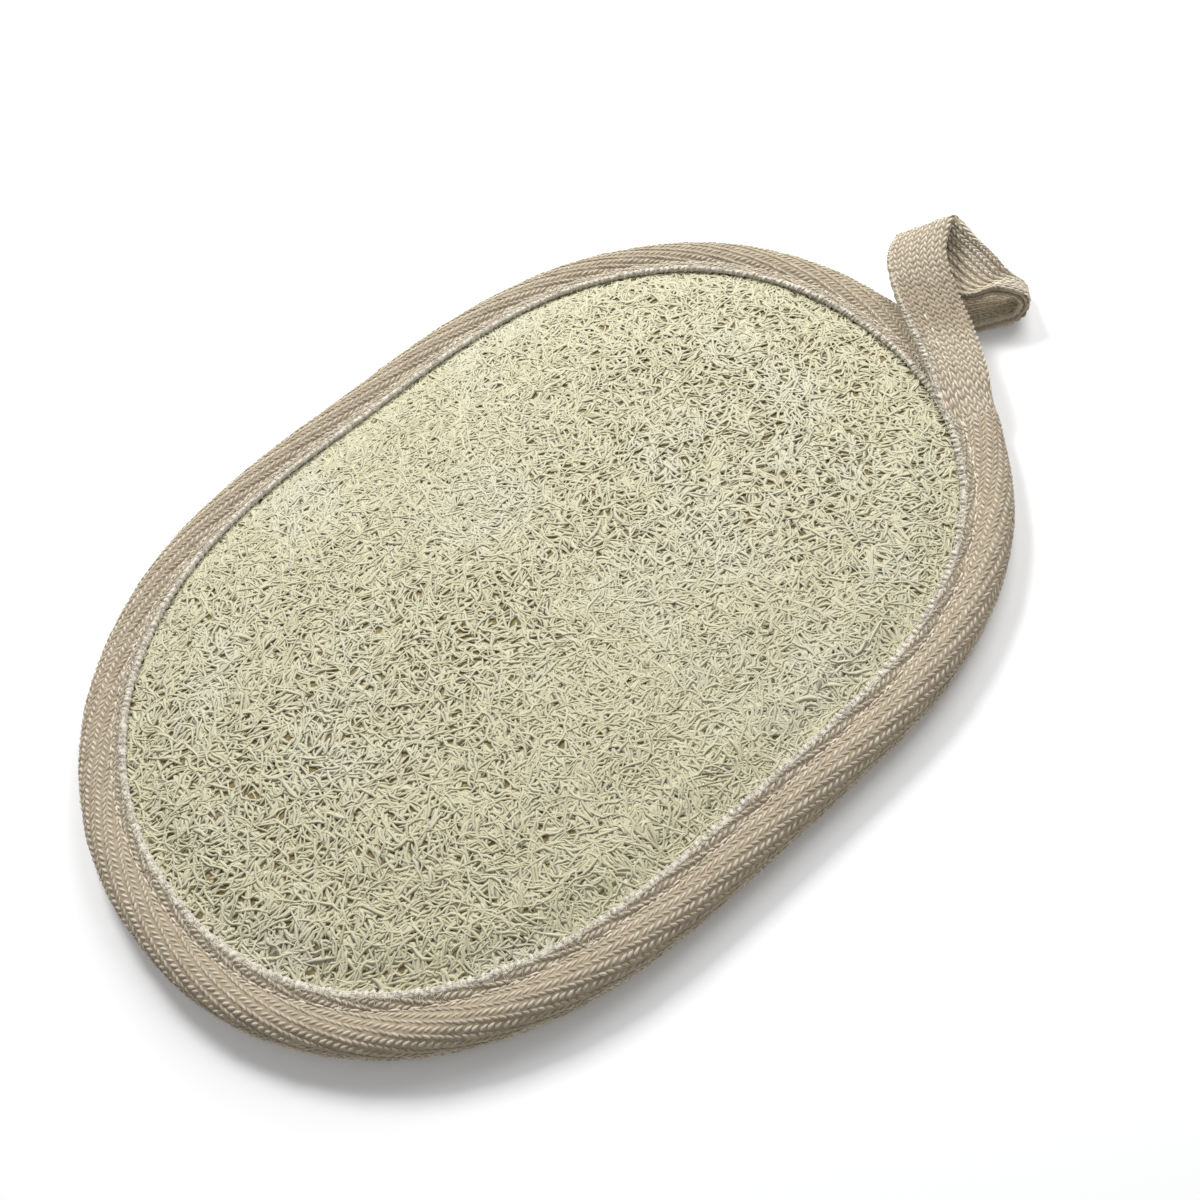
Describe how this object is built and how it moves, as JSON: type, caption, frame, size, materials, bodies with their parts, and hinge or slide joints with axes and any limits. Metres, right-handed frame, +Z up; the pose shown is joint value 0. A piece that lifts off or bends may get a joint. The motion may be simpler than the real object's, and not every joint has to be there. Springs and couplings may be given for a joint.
{
  "type": "oval loofah bath pad",
  "caption": "Oval scrubbing pad of pressed loofah on a cloth back, its edge bound in folded cotton tape whose end makes a hanging loop.",
  "frame": {"origin": "centre of the pad's oval on the face it lies on", "axes": "+X along the pad towards the hanging loop, +Y across the pad, +Z up through the loofah"},
  "size_m": [0.1928, 0.1283, 0.0142],
  "materials": {
    "loofah": "dry matted plant fibre, pale greenish straw",
    "back_cloth": "matt looped cotton cloth",
    "cotton_tape": "matt unbleached cotton, woven in small Vs",
    "cotton_thread": "matt cream sewing thread"
  },
  "bodies": {
    "root": {"loofah_mat": "loofah", "backing_cloth": "back_cloth", "binding_tape": "cotton_tape", "hanging_loop": "cotton_tape", "seam_thread_front": "cotton_thread", "seam_thread_back": "cotton_thread"}
  },
  "joints": []
}
